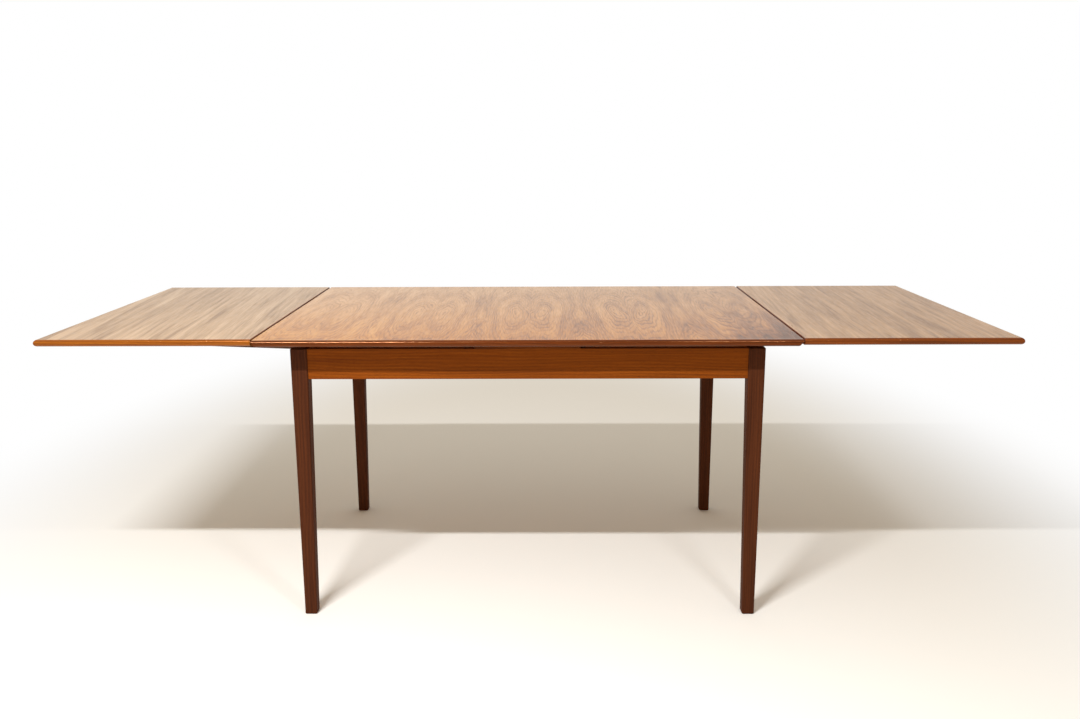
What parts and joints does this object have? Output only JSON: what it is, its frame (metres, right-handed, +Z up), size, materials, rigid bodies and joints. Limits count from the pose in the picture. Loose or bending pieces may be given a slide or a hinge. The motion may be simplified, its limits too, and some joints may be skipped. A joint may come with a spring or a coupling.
{
  "type": "draw leaf table",
  "caption": "Extending dining table with a loose top on a fixed centre board, two sliding end leaves on sloping runners, and square tapered legs.",
  "frame": {"origin": "on the floor under the middle of the table", "axes": "+X along the table towards the right leaf, +Y from the front long side to the back one, +Z up"},
  "size_m": [2.336, 0.89, 0.7313],
  "materials": {
    "top_veneer": "figured veneer, satin oil",
    "leaf_veneer": "straight-grained veneer, satin oil",
    "board_veneer": "veneer, satin oil",
    "top_lipping": "solid wood, satin oil",
    "leaf_lipping": "solid wood, satin oil",
    "apron_teak": "solid wood, satin oil",
    "leg_teak": "solid wood, satin oil",
    "runner_teak": "solid wood, planed and waxed",
    "inner_beech": "planed wood, bare"
  },
  "bodies": {
    "underframe": {"apron_back": "apron_teak", "apron_front": "apron_teak", "centre_board_lipping_back": "apron_teak", "centre_board_lipping_front": "apron_teak", "centre_board_panel": "board_veneer", "corner_block_back_left": "inner_beech", "corner_block_back_right": "inner_beech", "corner_block_front_left": "inner_beech", "corner_block_front_right": "inner_beech", "cross_rail_left": "inner_beech", "cross_rail_right": "inner_beech", "end_rail_left": "apron_teak", "end_rail_right": "apron_teak", "leg_back_left": "leg_teak", "leg_back_right": "leg_teak", "leg_front_left": "leg_teak", "leg_front_right": "leg_teak"},
    "main_top": {"guide_peg_back": "inner_beech", "guide_peg_front": "inner_beech", "main_top_lipping_back": "top_lipping", "main_top_lipping_front": "top_lipping", "main_top_lipping_left": "top_lipping", "main_top_lipping_right": "top_lipping", "main_top_panel": "top_veneer"},
    "left_leaf": {"left_leaf_lipping_back": "leaf_lipping", "left_leaf_lipping_front": "leaf_lipping", "left_leaf_lipping_left": "leaf_lipping", "left_leaf_lipping_right": "leaf_lipping", "left_leaf_panel": "leaf_veneer", "left_leaf_runner_back": "runner_teak", "left_leaf_runner_front": "runner_teak", "left_leaf_stop_back": "inner_beech", "left_leaf_stop_front": "inner_beech"},
    "right_leaf": {"right_leaf_lipping_back": "leaf_lipping", "right_leaf_lipping_front": "leaf_lipping", "right_leaf_lipping_left": "leaf_lipping", "right_leaf_lipping_right": "leaf_lipping", "right_leaf_panel": "leaf_veneer", "right_leaf_runner_back": "runner_teak", "right_leaf_runner_front": "runner_teak", "right_leaf_stop_back": "inner_beech", "right_leaf_stop_front": "inner_beech"}
  },
  "joints": [
    {"name": "main_top_lift", "type": "slide", "parent": "underframe", "child": "main_top", "axis": [0, 0, 1], "range_m": [0, 0.65]},
    {"name": "left_leaf_draw", "type": "slide", "parent": "underframe", "child": "left_leaf", "axis": [0.9993, 0, -0.0363], "range_m": [0, 0.51834]},
    {"name": "right_leaf_draw", "type": "slide", "parent": "underframe", "child": "right_leaf", "axis": [-0.9993, 0, -0.0363], "range_m": [0, 0.51834]}
  ],
  "couplings": [
    {"joint": "left_leaf_draw", "follows": "main_top_lift", "ratio": 0.79744},
    {"joint": "right_leaf_draw", "follows": "main_top_lift", "ratio": 0.79744}
  ]
}
